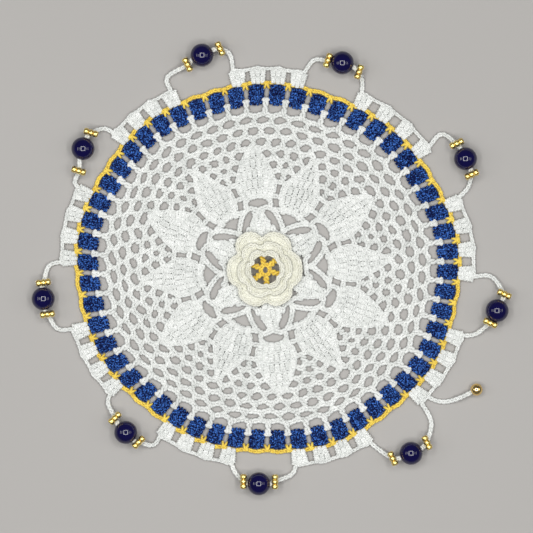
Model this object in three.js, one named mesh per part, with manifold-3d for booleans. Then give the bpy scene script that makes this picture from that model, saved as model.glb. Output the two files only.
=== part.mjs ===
// A round crochet jug cover, laid flat, in millimetres with Z up.
// White cotton lace with a raised rose in its middle, a round of blue blocks, a yellow
// chain round, and a white edging whose nine cord loops carry a navy bead each.
import * as THREE from "three";
import { mergeVertices } from "three/addons/utils/BufferGeometryUtils.js";
import Module from "manifold-3d";

const wasm = await Module();
wasm.setup();

const TURN = 360;
const RADIANS = Math.PI / 180;

// The chart of the even round: stitches counted round the cover, and where they start.
const BLOCKS = 54;
const GROUPS = 9;
const LEAVES = 12;
const FIRST_BLOCK = 6;
const FIRST_LEAF = 5.7;
const PITCH = TURN / BLOCKS;
const LEAF_PITCH = TURN / LEAVES;

// How the hand-made round differs from the even one, at the middle of the blue blocks:
// in millimetres outward, and in degrees round.
const BLUE_MIDDLE = 78.3;
const UNEVEN = { east: 0.8, north: -0.5, oval: 1.65, skew: -0.7, scallop: 0.7 };
const TURNING = { sway: -0.7, oval: -0.8, skew: -0.7, three: -0.4 };
// The rosette sits a little off the rim's middle, and the net takes that up.
const ROSETTE = { east: -0.3, north: -1.3, held: 45, free: 80 };

// Cord and yarn.
const CORD_RADIUS = 0.8;
const CORD_SIDES = 5;
const NET_THICK = 1.6;
const LEAF_THICK = 2.1;
const GAP = 0.3;

// The white net: each row's middle radius, the height and width of its holes, and the
// degrees at which the first one stands.
const EVEN_ROWS = [
  { radius: 67.8, high: 3.4, wide: 5.6, first: 3.6 },
  { radius: 63.0, high: 3.6, wide: 5.0, first: 7.7 },
  { radius: 58.1, high: 3.8, wide: 4.5, first: 4.8 },
];
// Rows between two leaves: how many holes, and the degrees that half a short leaf and
// half a long one take of the thirty between their middles.
const LEAF_ROWS = [
  { radius: 53.0, high: 3.4, wide: 3.9, holes: 4, short: 0.7, long: 3.8 },
  { radius: 48.3, high: 3.5, wide: 3.3, holes: 3, short: 4.3, long: 7.4 },
  { radius: 43.6, high: 3.5, wide: 2.6, holes: 2, short: 7.8, long: 10.9 },
];
const CHAIN_RING = { inner: 70.0, outer: 72.0 };
const POST = { top: 76.3, wide: 1.4, head: 0.3, foot: 0.65 };
const NET_EYE = 8;
const EYE_SIDES = 18;

// Half outlines, as [radius, degrees from the middle line], of the openings round the rose.
const PETAL_SIDE = [
  [20.0, 24],
  [20.2, 13.5],
  [22.2, 10.6],
  [26.6, 4.6],
  [27.8, 8.5],
  [23.4, 20],
];
const FAN_OPENING = [
  [28.2, 0],
  [30.2, 9],
  [32.5, 6.5],
];
const NODE_OPENING = [
  [23.0, 0],
  [26.2, 7.6],
  [28.2, 6],
];
// Half outlines of the solid leaves and of the small petals that the rose half hides.
const LEAF_OUTLINE = [
  [30.5, 7],
  [38.2, 11.2],
  [50.4, 1.4],
];
const LONG_LEAF_SHIFT = 4.7;
const PETAL_OUTLINE = [
  [18.5, 13.5],
  [26.4, 2],
];

// The coloured rounds and the white edging, as radii and heights.
const BLUE = { inner: 73.6, outer: 82.6, wide: 6.7, lean: 0.4, thick: 2.3 };
const BLUE_CHAIN = { inner: 79.6, outer: 81.0 };
const YELLOW = { inner: 83.1, outer: 85.2, thick: 1.7, leg: 81.3, legWide: 2.2 };
const EDGING = { inner: 85.6, rail: 88.8, outer: 90.7, thick: 2.2 };
const EDGING_BLOCK = { foot: 5.6, head: 6.6, lip: 83.4, lipThick: 0.6 };
const BLOCKS_IN_EDGING = 4;
// Each edging group's true middle, and how far apart its blocks stand, in degrees.
const EDGING_GROUPS = [
  { middle: 8.4, pitch: 6.8 },
  { middle: 48.4, pitch: 7.5 },
  { middle: 89.4, pitch: 6.1 },
  { middle: 128.5, pitch: 6.1 },
  { middle: 167.8, pitch: 6.4 },
  { middle: 208.4, pitch: 6.3 },
  { middle: 248.7, pitch: 6.6 },
  { middle: 289.7, pitch: 6.5 },
  { middle: 329.8, pitch: 6.5 },
];

// The nine loops in true polar places about the cover's middle: the bead, the rows of
// seed beads on either side, and where the cord bends on its way from the edging.
const LOOPS = [
  { bead: [28.5, 100.8], seeds: [24.2, 100.1, 32.9, 100.8], bends: [21.4, 96.6, 37.2, 98.0] },
  { bead: [69.5, 96.8], seeds: [64.5, 95.9, 73.3, 95.7], bends: [62.6, 93.2, 77.0, 94.6] },
  { bead: [106.8, 98.3], seeds: [101.9, 99.0, 111.2, 96.3], bends: [99.6, 95.9, 117.6, 95.2] },
  { bead: [147.1, 96.8], seeds: [142.5, 97.9, 152.8, 93.4], bends: [139.4, 94.8, 156.2, 93.2] },
  { bead: [188.1, 99.9], seeds: [184.0, 99.0, 192.2, 99.2], bends: [179.6, 96.6, 196.6, 96.8] },
  { bead: [229.7, 96.3], seeds: [225.0, 94.8, 234.0, 96.1], bends: [220.6, 92.8, 237.8, 93.8] },
  { bead: [268.1, 96.3], seeds: [264.0, 95.7, 272.4, 95.4], bends: [261.4, 92.4, 277.2, 93.0] },
  { bead: [307.9, 104.8], seeds: [303.5, 101.9, 312.5, 105.7], bends: [301.9, 96.4, 316.9, 100.8] },
  { bead: [349.3, 104.4], seeds: [346.0, 102.6, 353.5, 106.4], bends: [342.2, 98.0, 357.6, 100.4] },
];
const LOOP_STEPS = 12;
const LOOP_HEIGHT = { foot: 1.1, bend: 1.9, seeds: 3.9 };
const BEAD = { radius: 5, bore: 1.25, sides: 10, steps: 7 };
const SEEDS = { radius: 1.3, waist: 0.95, bead: 2.1, sides: 5 };
// The starting tail lies beside the edging and ends in a metal ball.
const TAIL = [
  [321.2, 90.8],
  [321.8, 96.2],
  [323.4, 100.6],
  [326.2, 104.3],
  [329.8, 108.4],
];
const TAIL_STEPS = 9;
const BALL = { radius: 2.75, bore: 1.15, sides: 10, steps: 5 };

// The rose: three tiers of six petals, the widest at the bottom, about a yellow centre.
const PETALS = 6;
const ROSE_TURN = 12;
const TIERS = [
  { name: "rose_outer_petals", inner: 7.0, outer: 17.0, base: 2.4, rise: 0.7, turn: 0 },
  { name: "rose_middle_petals", inner: 6.9, outer: 13.2, base: 3.9, rise: 0.8, turn: 8 },
  { name: "rose_inner_petals", inner: 6.8, outer: 9.6, base: 5.5, rise: 0.8, turn: 16 },
];
const TIER_THICK = 1.1;
const TIER_SIDES = 30;
const PETAL_NOTCH = 0.11;
const CENTRE = { hole: 1.1, ring: 3.0, reach: 6.4, spoke: 1.9, thick: 1.6, sides: 12 };

const WHITE = { color: 0xeef2ec, roughness: 0.9, metalness: 0 };
const CREAM = { color: 0xeeecd8, roughness: 0.9, metalness: 0 };
const GOLDEN_YELLOW = { color: 0xf2c43c, roughness: 0.85, metalness: 0 };
const ROYAL_BLUE = { color: 0x1d3f92, roughness: 0.85, metalness: 0 };
const NAVY_GLASS = { color: 0x150f55, roughness: 0.1, metalness: 0 };
const GOLD = { color: 0xd8a92c, roughness: 0.25, metalness: 1 };

// A closed mesh as a solid that can be joined to others.
function solidOf(geometry) {
  const bare = new THREE.BufferGeometry();
  const loose = geometry.index ? geometry.toNonIndexed() : geometry;
  bare.setAttribute("position", loose.getAttribute("position"));
  const merged = mergeVertices(bare);
  return new wasm.Manifold(
    new wasm.Mesh({
      numProp: 3,
      vertProperties: merged.attributes.position.array,
      triVerts: new Uint32Array(merged.index.array),
    }),
  );
}

// Several overlapping closed meshes as one.
function joined(geometries) {
  let whole = solidOf(geometries[0]);
  for (const geometry of geometries.slice(1)) {
    whole = whole.add(solidOf(geometry));
  }
  const mesh = whole.getMesh();
  return new THREE.BufferGeometry()
    .setAttribute("position", new THREE.BufferAttribute(mesh.vertProperties, 3))
    .setIndex(new THREE.BufferAttribute(mesh.triVerts, 1));
}

// How far out a place of the even chart lies on the hand-made cover.
function outward(radius, angle) {
  const growth = Math.min(radius / BLUE_MIDDLE, 1);
  const middleOfGroup = (FIRST_BLOCK + PITCH / 2) * RADIANS;
  const bulge =
    UNEVEN.east * Math.cos(angle) +
    UNEVEN.north * Math.sin(angle) +
    UNEVEN.oval * Math.cos(2 * angle) +
    UNEVEN.skew * Math.sin(2 * angle);
  const scallop = UNEVEN.scallop * Math.cos(GROUPS * (angle - middleOfGroup));
  return radius + growth * bulge + growth ** 4 * scallop;
}

// How far round a place of the even chart is turned, in degrees.
function turning(angle) {
  return (
    TURNING.sway * Math.sin(angle) +
    TURNING.oval * Math.cos(2 * angle) +
    TURNING.skew * Math.sin(2 * angle) +
    TURNING.three * Math.sin(3 * angle)
  );
}

// Where a place of the even chart lies on the hand-made cover.
function placed([radius, degrees]) {
  const angle = degrees * RADIANS;
  const far = outward(radius, angle);
  const turned = angle + turning(angle) * RADIANS;
  const share = (ROSETTE.free - radius) / (ROSETTE.free - ROSETTE.held);
  const drift = Math.min(Math.max(share, 0), 1);
  return new THREE.Vector2(
    far * Math.cos(turned) + drift * ROSETTE.east,
    far * Math.sin(turned) + drift * ROSETTE.north,
  );
}

// A true place, in polar form about the cover's middle, at a height.
function polar([degrees, radius], height) {
  const angle = degrees * RADIANS;
  return new THREE.Vector3(radius * Math.cos(angle), radius * Math.sin(angle), height);
}

// The angle that a width takes at a radius, in degrees.
function across(width, radius) {
  return width / radius / RADIANS;
}

// The chart's angle for a place whose true angle is known.
function evenAngle(degrees) {
  return degrees - turning(degrees * RADIANS);
}

function blockAngle(index) {
  return FIRST_BLOCK + index * PITCH;
}

function leafAngle(index) {
  return FIRST_LEAF + index * LEAF_PITCH;
}

function isLongLeaf(index) {
  return index % 2 === 1;
}

// A flat piece between two heights, with its outline and holes given on the even chart.
function slab(outline, low, high, holes = []) {
  const shape = new THREE.Shape(outline.map(placed));
  shape.holes = holes.map((hole) => new THREE.Path(hole.map(placed)));
  const flat = new THREE.ExtrudeGeometry(shape, { depth: high - low, bevelEnabled: false });
  return flat.translate(0, 0, low);
}

// A ring of short straight sides, as the points of one circle.
function circle(radius, sides) {
  return Array.from({ length: sides }, (_, i) => [radius, FIRST_BLOCK + (i * TURN) / sides]);
}

// A whole outline from the half on one side of a middle line, with its ends on the line.
function mirrored(half, middle, shift = 0) {
  const right = half.map(([radius, off]) => [radius + shift, middle + off]);
  const other = half.filter(([, off]) => off > 0).reverse();
  const left = other.map(([radius, off]) => [radius + shift, middle - off]);
  return [...right, ...left];
}

// A net hole between leaves: wide under the arch above it, and narrow at its foot.
function smallHole(radius, degrees, high, wide) {
  const half = across(wide / 2, radius);
  return [
    [radius + high / 2, degrees + half * 0.9],
    [radius - high / 3, degrees + half * 0.8],
    [radius - high / 2, degrees - half * 0.4],
    [radius + high / 3, degrees - half],
  ];
}

// A hole of the open net: a flat top under one arch, and a foot between the two below.
function netHole(radius, degrees, high, wide) {
  const half = across(wide / 2, radius);
  const shoulder = radius - high / 5;
  return [
    [radius + high / 2, degrees + half * 0.8],
    [shoulder, degrees + half],
    [radius - high / 2, degrees],
    [shoulder, degrees - half],
    [radius + high / 2, degrees - half * 0.8],
  ];
}

// The holes of the three rows that run unbroken round the cover.
function evenHoles() {
  return EVEN_ROWS.flatMap((row) =>
    Array.from({ length: BLOCKS }, (_, i) =>
      netHole(row.radius, row.first + i * PITCH, row.high, row.wide),
    ),
  );
}

// The holes between each pair of leaves, fewer in each row towards the middle.
function leafHoles() {
  const holes = [];
  for (let gap = 0; gap < LEAVES; gap++) {
    for (const row of LEAF_ROWS) {
      const low = isLongLeaf(gap) ? row.long : row.short;
      const high = isLongLeaf(gap) ? row.short : row.long;
      const pitch = (LEAF_PITCH - low - high) / row.holes;
      for (let i = 0; i < row.holes; i++) {
        const degrees = leafAngle(gap) + low + pitch * (i + 0.5);
        holes.push(smallHole(row.radius, degrees, row.high, row.wide));
      }
    }
  }
  return holes;
}

// The larger openings between the rose's white petals and the leaves.
function rosetteHoles() {
  const holes = [];
  for (let i = 0; i < LEAVES; i++) {
    if (!isLongLeaf(i)) {
      holes.push(mirrored(NODE_OPENING, leafAngle(i)));
      continue;
    }
    holes.push(mirrored(FAN_OPENING, leafAngle(i)));
    for (const side of [1, -1]) {
      holes.push(PETAL_SIDE.map(([radius, off]) => [radius, leafAngle(i) + side * off]));
    }
  }
  return holes;
}

// The white net with the tall stitches that reach up between the blue blocks.
function laceGround() {
  const outline = [];
  for (let i = 0; i < BLOCKS; i++) {
    const middle = blockAngle(i + 0.5);
    const half = across(POST.wide / 2, POST.top);
    const head = middle + across(POST.head, POST.top);
    const foot = middle + across(POST.foot, POST.top);
    outline.push([CHAIN_RING.outer, foot - half]);
    outline.push([POST.top, head - half]);
    outline.push([POST.top, head + half]);
    outline.push([CHAIN_RING.outer, foot + half]);
  }
  const holes = [...evenHoles(), ...leafHoles(), ...rosetteHoles()];
  const net = slab(outline, 0, NET_THICK, [...holes, circle(NET_EYE, EYE_SIDES)]);
  const raised = [];
  for (let i = 0; i < LEAVES; i++) {
    const shift = isLongLeaf(i) ? LONG_LEAF_SHIFT : 0;
    const leaf = mirrored(LEAF_OUTLINE, leafAngle(i), shift);
    raised.push(slab(leaf, NET_THICK / 2, LEAF_THICK));
    if (isLongLeaf(i)) {
      raised.push(slab(mirrored(PETAL_OUTLINE, leafAngle(i)), NET_THICK / 2, LEAF_THICK));
    }
  }
  return joined([net, ...raised]);
}

// Blocks of three tall blue stitches, held side by side by a chain near their tops.
function blueRound() {
  const outer = [];
  const inner = [];
  for (let i = 0; i < BLOCKS; i++) {
    const half = across(BLUE.wide / 2, BLUE_CHAIN.inner);
    const lean = across(BLUE.lean, BLUE_CHAIN.inner);
    const [low, high] = [blockAngle(i) - half, blockAngle(i) + half];
    outer.push([BLUE_CHAIN.outer, low - lean], [BLUE.outer, low - lean]);
    outer.push([BLUE.outer, high - lean], [BLUE_CHAIN.outer, high - lean]);
    inner.push([BLUE_CHAIN.inner, low], [BLUE.inner, low + lean]);
    inner.push([BLUE.inner, high + lean], [BLUE_CHAIN.inner, high]);
  }
  return slab(outer, 0, BLUE.thick, [inner]);
}

// The yellow chain, with a pointed stitch reaching into each gap between blue blocks.
function yellowRound() {
  const inner = [];
  for (let i = 0; i < BLOCKS; i++) {
    const middle = blockAngle(i + 0.5);
    const root = across(YELLOW.legWide / 2, YELLOW.inner);
    inner.push([YELLOW.inner, middle - root], [YELLOW.leg, middle]);
    inner.push([YELLOW.inner, middle + root]);
  }
  return slab(circle(YELLOW.outer, BLOCKS), 0, YELLOW.thick, [inner]);
}

// The angle of one of the four blocks of an edging group, on the even chart.
function edgingAngle(group, index) {
  const { middle, pitch } = EDGING_GROUPS[group % GROUPS];
  return evenAngle(middle + (index - (BLOCKS_IN_EDGING - 1) / 2) * pitch);
}

// Four white blocks under one chain. Each block's foot wraps over the yellow round.
function edgingGroup(group) {
  const teeth = [];
  const tops = [];
  const lips = [];
  for (let i = 0; i < BLOCKS_IN_EDGING; i++) {
    const middle = edgingAngle(group, i);
    const foot = across(EDGING_BLOCK.foot / 2, EDGING.inner);
    const head = across(EDGING_BLOCK.head / 2, EDGING.rail);
    teeth.push([EDGING.rail, middle - head]);
    teeth.push([EDGING.inner, middle - foot]);
    teeth.push([EDGING.inner, middle + foot]);
    teeth.push([EDGING.rail, middle + head]);
    tops.push([EDGING.outer, middle - head]);
    tops.push([EDGING.outer, middle + head]);
    const lip = [
      [EDGING_BLOCK.lip, middle - foot],
      [EDGING.rail, middle - foot],
      [EDGING.rail, middle + foot],
      [EDGING_BLOCK.lip, middle + foot],
    ];
    lips.push(slab(lip, YELLOW.thick + GAP, YELLOW.thick + GAP + EDGING_BLOCK.lipThick));
  }
  return [slab([...teeth, ...tops.reverse()], 0, EDGING.thick), ...lips];
}

// A many-sided cord through a row of points.
function cord(points, steps) {
  const section = new THREE.Shape(
    Array.from({ length: CORD_SIDES }, (_, i) => {
      const angle = (i * TURN * RADIANS) / CORD_SIDES;
      return new THREE.Vector2(CORD_RADIUS * Math.cos(angle), CORD_RADIUS * Math.sin(angle));
    }),
  );
  const extrudePath = new THREE.CatmullRomCurve3(points);
  return new THREE.ExtrudeGeometry(section, { steps, extrudePath, bevelEnabled: false });
}

// The two rows of seed beads of a loop, at a height, in the order in which the cord runs.
function seedPlaces({ seeds }, height) {
  return [polar(seeds.slice(0, 2), height), polar(seeds.slice(2), height)];
}

// The direction of a bead's bore, level and along the line between its seed beads.
function boreDirection(loop) {
  const [right, left] = seedPlaces(loop, 0);
  return left.sub(right).normalize();
}

function beadPlace(loop) {
  return polar(loop.bead, BEAD.radius);
}

// One loop of cord, from block to block through the bead.
function loopCord(loop, index) {
  const footAt = (degrees) => {
    const foot = placed([EDGING.rail, degrees]);
    return new THREE.Vector3(foot.x, foot.y, LOOP_HEIGHT.foot);
  };
  const [rightSeeds, leftSeeds] = seedPlaces(loop, LOOP_HEIGHT.seeds);
  const reach = boreDirection(loop).multiplyScalar(BEAD.radius);
  const points = [
    footAt(edgingAngle(index, BLOCKS_IN_EDGING - 1)),
    polar(loop.bends.slice(0, 2), LOOP_HEIGHT.bend),
    rightSeeds,
    beadPlace(loop).sub(reach),
    beadPlace(loop).add(reach),
    leftSeeds,
    polar(loop.bends.slice(2), LOOP_HEIGHT.bend),
    footAt(edgingAngle(index + 1, 0)),
  ];
  return cord(points, LOOP_STEPS);
}

function tailCord() {
  const bends = TAIL.map((place) => polar(place, LOOP_HEIGHT.foot));
  bends.slice(-2).forEach((bend) => bend.setZ(BALL.radius));
  return cord(bends, TAIL_STEPS);
}

function whiteEdging() {
  const pieces = LOOPS.map(loopCord);
  for (let group = 0; group < GROUPS; group++) {
    pieces.push(...edgingGroup(group));
  }
  return joined([...pieces, tailCord()]);
}

// A ball with a round bore along Y.
function boredBall({ radius, bore, sides, steps }) {
  const edge = Math.asin(bore / radius);
  const profile = Array.from({ length: steps + 1 }, (_, i) => {
    const angle = edge + ((Math.PI - 2 * edge) * i) / steps;
    return new THREE.Vector2(radius * Math.sin(angle), -radius * Math.cos(angle));
  });
  return new THREE.LatheGeometry([...profile, profile[0]], sides);
}

// Three seed beads in a row along Y, with a waist where two meet.
function seedRow() {
  const half = SEEDS.bead / 2;
  const profile = [new THREE.Vector2(0, -3 * half)];
  for (const middle of [-SEEDS.bead, 0, SEEDS.bead]) {
    profile.push(new THREE.Vector2(SEEDS.waist, middle - half));
    profile.push(new THREE.Vector2(SEEDS.radius, middle));
  }
  profile.push(new THREE.Vector2(SEEDS.waist, 3 * half));
  profile.push(new THREE.Vector2(0, 3 * half));
  return new THREE.LatheGeometry(profile, SEEDS.sides);
}

// One tier of petals: a ring with a lobed outer edge that rises, then turns down.
function petalTier(tier) {
  const middle = placed([0, 0]);
  const profile = [
    { share: 0, lift: 0 },
    { share: 0.55, lift: 1 },
    { share: 1, lift: 0.35 },
  ];
  const ring = [...profile.map((at) => ({ ...at, low: 0 }))];
  const under = [...profile.map((at) => ({ ...at, low: TIER_THICK }))].reverse();
  const section = [...ring, ...under];
  const positions = [];
  for (let i = 0; i < TIER_SIDES; i++) {
    const angle = (i * TURN * RADIANS) / TIER_SIDES;
    const lobe = Math.abs(Math.cos((PETALS / 2) * (angle - (ROSE_TURN + tier.turn) * RADIANS)));
    const reach = tier.outer * (1 - PETAL_NOTCH * (1 - lobe) ** 2);
    for (const { share, lift, low } of section) {
      const radius = tier.inner + share * (reach - tier.inner);
      const height = tier.base + TIER_THICK + lift * tier.rise * (0.4 + 0.6 * lobe) - low;
      positions.push(middle.x + radius * Math.cos(angle));
      positions.push(middle.y + radius * Math.sin(angle), height);
    }
  }
  const count = section.length;
  const index = [];
  for (let i = 0; i < TIER_SIDES; i++) {
    const here = i * count;
    const next = ((i + 1) % TIER_SIDES) * count;
    for (let k = 0; k < count; k++) {
      const after = (k + 1) % count;
      index.push(here + k, here + after, next + k);
      index.push(next + k, here + after, next + after);
    }
  }
  return new THREE.BufferGeometry()
    .setAttribute("position", new THREE.Float32BufferAttribute(positions, 3))
    .setIndex(index);
}

// The yellow ring in the rose's middle, with six spokes that the petals grow from.
function roseCentre() {
  const ring = circle(CENTRE.ring, CENTRE.sides);
  const hole = circle(CENTRE.hole, CENTRE.sides / 2);
  const pieces = [slab(ring, 0, CENTRE.thick, [hole])];
  const root = (CENTRE.hole + CENTRE.ring) / 2;
  for (let i = 0; i < PETALS; i++) {
    const middle = ROSE_TURN + (i * TURN) / PETALS;
    const outline = [
      [root, middle - across(CENTRE.spoke / 2, root)],
      [CENTRE.reach, middle - across(CENTRE.spoke / 2, CENTRE.reach)],
      [CENTRE.reach, middle + across(CENTRE.spoke / 2, CENTRE.reach)],
      [root, middle + across(CENTRE.spoke / 2, root)],
    ];
    pieces.push(slab(outline, 0, CENTRE.thick));
  }
  return joined(pieces);
}

function part(name, geometry, finish) {
  const mesh = new THREE.Mesh(geometry, new THREE.MeshStandardMaterial(finish));
  mesh.name = name;
  return mesh;
}

// A piece turned so that its own Y axis lies along a level direction.
function laidAlong(mesh, place, direction) {
  mesh.position.copy(place);
  mesh.quaternion.setFromUnitVectors(new THREE.Vector3(0, 1, 0), direction);
  return mesh;
}

const cover = new THREE.Group();
cover.add(part("lace_ground", laceGround(), WHITE));
cover.add(part("blue_round", blueRound(), ROYAL_BLUE));
cover.add(part("yellow_round", yellowRound(), GOLDEN_YELLOW));
cover.add(part("white_edging", whiteEdging(), WHITE));
cover.add(part("rose_centre", roseCentre(), GOLDEN_YELLOW));
for (const tier of TIERS) {
  cover.add(part(tier.name, petalTier(tier), CREAM));
}

LOOPS.forEach((loop, i) => {
  const direction = boreDirection(loop);
  const bead = part(`navy_bead_${i + 1}`, boredBall(BEAD), NAVY_GLASS);
  cover.add(laidAlong(bead, beadPlace(loop), direction));
  const level = LOOP_HEIGHT.seeds + CORD_RADIUS + GAP + SEEDS.radius;
  const crosswise = new THREE.Vector3(-direction.y, direction.x, 0);
  const [right, left] = seedPlaces(loop, level);
  for (const [side, place] of Object.entries({ right, left })) {
    const seeds = part(`gold_seeds_${i + 1}_${side}`, seedRow(), GOLD);
    cover.add(laidAlong(seeds, place, crosswise));
  }
});

const [lastBend, tailEnd] = TAIL.slice(-2).map((place) => polar(place, BALL.radius));
const tailDirection = tailEnd.clone().sub(lastBend).normalize();
const ball = part("gold_ball", boredBall(BALL), GOLD);
cover.add(laidAlong(ball, tailEnd, tailDirection));

// The origin is under the middle of the whole cover's box, on the surface it lies on.
const middle = new THREE.Box3().setFromObject(cover, true).getCenter(new THREE.Vector3());
cover.position.set(-middle.x, -middle.y, 0);

export default cover;
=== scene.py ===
# %% [markdown]
# A round crochet jug cover lies flat on a pale table. This lesson makes it stitch by
# stitch: white lace, a raised cream rose, a blue round, a yellow chain round, and a
# white edging with nine beaded loops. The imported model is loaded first, because it
# fixes the size and place of everything.

# %% The frame
import random
from math import asin, atan, cos, pi, sin, sqrt, tan

import bmesh
import bpy
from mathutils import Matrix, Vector


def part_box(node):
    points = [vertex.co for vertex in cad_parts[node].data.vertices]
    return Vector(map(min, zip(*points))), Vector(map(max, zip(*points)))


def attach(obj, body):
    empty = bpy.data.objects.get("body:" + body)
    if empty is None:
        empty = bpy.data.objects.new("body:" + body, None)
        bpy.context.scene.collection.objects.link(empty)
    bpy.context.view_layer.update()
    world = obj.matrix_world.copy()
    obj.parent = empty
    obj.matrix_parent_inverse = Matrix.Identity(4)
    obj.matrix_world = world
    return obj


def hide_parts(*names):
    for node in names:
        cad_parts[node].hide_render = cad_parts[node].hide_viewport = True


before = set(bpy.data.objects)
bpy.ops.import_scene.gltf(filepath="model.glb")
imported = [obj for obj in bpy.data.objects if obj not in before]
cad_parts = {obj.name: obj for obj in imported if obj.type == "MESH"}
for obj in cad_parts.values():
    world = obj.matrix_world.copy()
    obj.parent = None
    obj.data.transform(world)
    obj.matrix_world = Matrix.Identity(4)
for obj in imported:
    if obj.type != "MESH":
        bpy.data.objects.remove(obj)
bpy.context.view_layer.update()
MM = 0.001
RADIANS = pi / 180
TURN = 360
CIRCLE = TURN * RADIANS

# %% [markdown]
# Crochet is counted, so the cover has a chart: 54 blocks round the rim, in nine groups,
# and twelve leaves in the middle. A place on the chart is a radius in millimetres and
# an angle in degrees. The real cover isn't quite round and its rounds are turned a
# little, so one function takes a place on the even chart to its true place.

# %% The chart
BLOCKS = 54
GROUPS = 9
LEAVES = 12
PETALS = 6
PITCH = TURN / BLOCKS
LEAF_PITCH = TURN / LEAVES
FIRST_BLOCK = 6
FIRST_LEAF = 5.7
BLUE_MIDDLE = 78.3
# Waves round the cover: how large, how many, and of which kind.
BULGE = [(0.8, 1, cos), (-0.5, 1, sin), (1.65, 2, cos), (-0.7, 2, sin)]
TURNING = [(-0.7, 1, sin), (-0.8, 2, cos), (-0.7, 2, sin), (-0.4, 3, sin)]
SCALLOP = 0.7
# Inside the first radius the lace is shifted a little. Beyond the second it isn't.
EAST, NORTH = -0.3, -1.3
SHIFTED, STAYS = 45, 80


def polar(degrees, radius, height=0.0):
    """A true place about the rim's middle, in millimetres."""
    angle = degrees * RADIANS
    return Vector((radius * cos(angle), radius * sin(angle), height))


# The chart's middle isn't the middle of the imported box, so a bead shows how far apart
# they are.
FIRST_BEAD = (28.5, 100.8)
bead_low, bead_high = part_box("navy_bead_1")
chart_middle = (bead_low + bead_high) / 2 / MM - polar(*FIRST_BEAD)
chart_middle.z = 0
print("The chart's middle is at", [round(x, 2) for x in chart_middle[:2]], "mm")


def waves(table, angle):
    """The sum of a few waves at an angle in radians."""
    return sum(size * wave(times * angle) for size, times, wave in table)


def placed(radius, degrees, height=0.0):
    """Where a place of the even chart lies on the real cover, in millimetres."""
    angle = degrees * RADIANS
    growth = min(radius / BLUE_MIDDLE, 1)
    group_middle = (FIRST_BLOCK + PITCH / 2) * RADIANS
    scallop = SCALLOP * cos(GROUPS * (angle - group_middle))
    far = radius + growth * waves(BULGE, angle) + growth**4 * scallop
    drift = min(max((STAYS - radius) / (STAYS - SHIFTED), 0), 1)
    place = polar(degrees + waves(TURNING, angle), far, height)
    return place + Vector((drift * EAST, drift * NORTH, 0))


def even_angle(degrees):
    """The chart's angle for a place whose true angle is known."""
    return degrees - waves(TURNING, degrees * RADIANS)


def across(width, radius):
    """The angle that a width takes at a radius, in degrees."""
    return width / radius / RADIANS


def leaf_angle(index):
    return FIRST_LEAF + index * LEAF_PITCH


def block_angle(index):
    return FIRST_BLOCK + index * PITCH


# %% [markdown]
# The photograph looks straight down, and a long lens from 1.2 m away keeps it nearly
# free of perspective. A square frame of soft boxes hangs round the camera, with two
# strips on either side. The lace gets soft shadows, and the beads mirror the boxes as a
# small square with two bars on each side.

# %% Camera, floor and lights
CAMERA_HEIGHT = 1.2
VIEW_ACROSS = 0.2377
VIEW_MIDDLE = Vector((-2.42, 0.64)) * MM
SENSOR_WIDTH = 36
FLOOR_SIDE = 4.0
FRAME_HALF = 0.36
FRAME_WIDE = 0.1
FRAME_HEIGHT = 1.0
FRAME_WATTS = 2.68
STRIP = (0.4, 0.07)
SKY_COLOR = (0.95, 0.96, 1, 1)
SKY_STRENGTH = 0.13


def shown(name, data):
    """A new object in the scene, at the origin."""
    made = bpy.data.objects.new(name, data)
    bpy.context.scene.collection.objects.link(made)
    return made


def area_light(name, place, size, watts):
    """A rectangular soft box that faces the cover and isn't seen itself."""
    data = bpy.data.lights.new(name, "AREA")
    data.shape = "RECTANGLE"
    data.size, data.size_y = size
    data.energy = watts
    box = shown(name, data)
    box.location = place
    box.rotation_mode = "QUATERNION"
    box.rotation_quaternion = Vector(place).to_track_quat("Z", "Y")
    box.visible_camera = False


camera_data = bpy.data.cameras.new("camera")
camera_data.sensor_width = SENSOR_WIDTH
half_view = atan(VIEW_ACROSS / 2 / CAMERA_HEIGHT)
camera_data.lens = SENSOR_WIDTH / 2 / tan(half_view)
camera = shown("camera", camera_data)
camera.location = (*VIEW_MIDDLE, CAMERA_HEIGHT)
bpy.context.scene.camera = camera
bpy.context.scene.view_settings.view_transform = "Standard"

long_side = (2 * FRAME_HALF + FRAME_WIDE, FRAME_WIDE)
short_side = (2 * FRAME_HALF - FRAME_WIDE, FRAME_WIDE)
for name, y in (("top_box", FRAME_HALF), ("bottom_box", -FRAME_HALF)):
    area_light(name, (0, y, FRAME_HEIGHT), long_side, FRAME_WATTS)
for name, x in (("left_box", -FRAME_HALF), ("right_box", FRAME_HALF)):
    area_light(name, (x, 0, FRAME_HEIGHT), short_side, FRAME_WATTS)
for side, way, watts in (("left", -1, 0.6), ("right", 1, 0.4)):
    for level, x, height in (("high", 0.60, 0.76), ("low", 0.77, 0.58)):
        area_light(f"{side}_{level}_strip", (way * x, 0, height), STRIP, watts)

world = bpy.data.worlds.new("studio")
bpy.context.scene.world = world
world.use_nodes = True
sky = world.node_tree.nodes["Background"]
sky.inputs["Color"].default_value = SKY_COLOR
sky.inputs["Strength"].default_value = SKY_STRENGTH

floor_mesh = bpy.data.meshes.new("floor")
edge = FLOOR_SIDE / 2
corners = [(-edge, -edge, 0), (edge, -edge, 0), (edge, edge, 0), (-edge, edge, 0)]
floor_mesh.from_pydata(corners, [], [(0, 1, 2, 3)])
floor = shown("floor", floor_mesh)
print("Camera lens", round(camera_data.lens, 1), "mm")

# %% [markdown]
# A material is a tree of nodes. Sums on its sockets are easier to read as ordinary
# Python, so a small class wraps a socket and turns +, - and * into Math nodes. A second
# class adds any other node.

# %% Sockets as numbers


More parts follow.
